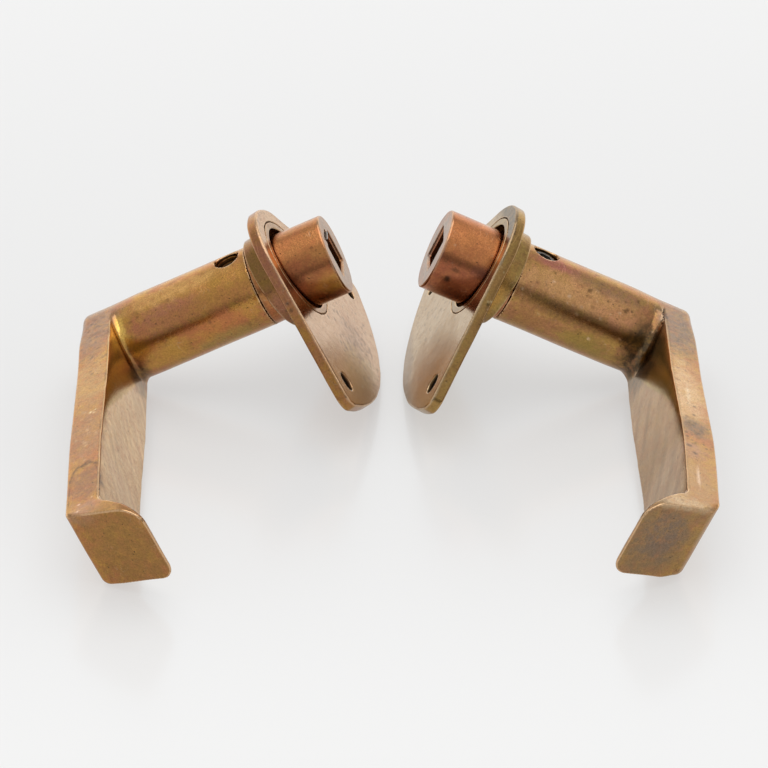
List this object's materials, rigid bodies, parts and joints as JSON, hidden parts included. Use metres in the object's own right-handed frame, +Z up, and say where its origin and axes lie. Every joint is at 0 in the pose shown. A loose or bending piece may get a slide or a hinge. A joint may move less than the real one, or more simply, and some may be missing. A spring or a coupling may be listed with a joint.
{
  "type": "lever handle lockset",
  "caption": "Mirror-image pair of bronze lever door handles with return lips, square spindle sockets, grub screws and loose fan-shaped roses.",
  "frame": {"origin": "centre of the bounding box at the level of the surface the handles lie on", "axes": "+Z up, +X from the left handle to the right one, -Y along both levers towards their return lips"},
  "size_m": [0.1488, 0.135, 0.0459],
  "materials": {
    "lever": "aged bronze, worn bright on the edges",
    "sleeve": "aged copper-coloured bronze, turned",
    "rose": "aged bronze with a pale tarnish on the door side",
    "bush": "aged bronze, turned",
    "grub_screw": "dark steel",
    "dowel_pin": "steel",
    "shim": "bright spring steel"
  },
  "bodies": {
    "levers": {"left_lever": "lever", "left_socket_sleeve": "sleeve", "left_dowel_pin": "dowel_pin", "left_socket_shim": "shim", "right_lever": "lever", "right_socket_sleeve": "sleeve", "right_dowel_pin": "dowel_pin"},
    "left_bush": {"left_rose_bush": "bush"},
    "left_rose": {"left_rose_plate": "rose"},
    "left_screw": {"left_grub_screw": "grub_screw"},
    "right_bush": {"right_rose_bush": "bush"},
    "right_rose": {"right_rose_plate": "rose"},
    "right_screw": {"right_grub_screw": "grub_screw"}
  },
  "joints": [
    {"name": "left_bush_slide", "type": "slide", "parent": "levers", "child": "left_bush", "axis": [0.9131, 0.0351, 0.4062], "range_m": [-0.032, 0.003]},
    {"name": "left_rose_swivel", "type": "hinge", "parent": "left_bush", "child": "left_rose", "pos_m": [-0.0219, 0.03505, 0.03143], "axis": [0.8287, 0.0335, 0.5587], "continuous": true},
    {"name": "left_screw_travel", "type": "slide", "parent": "levers", "child": "left_screw", "axis": [-0.4072, 0.0291, 0.9129], "range_m": [-0.0002, 0.0024]},
    {"name": "right_bush_slide", "type": "slide", "parent": "levers", "child": "right_bush", "axis": [-0.9026, 0.0268, 0.4297], "range_m": [-0.032, 0.003]},
    {"name": "right_rose_swivel", "type": "hinge", "parent": "right_bush", "child": "right_rose", "pos_m": [0.02211, 0.03401, 0.03202], "axis": [-0.849, 0.0276, 0.5276], "continuous": true},
    {"name": "right_screw_travel", "type": "slide", "parent": "levers", "child": "right_screw", "axis": [0.4293, 0.1307, 0.8936], "range_m": [-0.0015, 0.0011]}
  ]
}
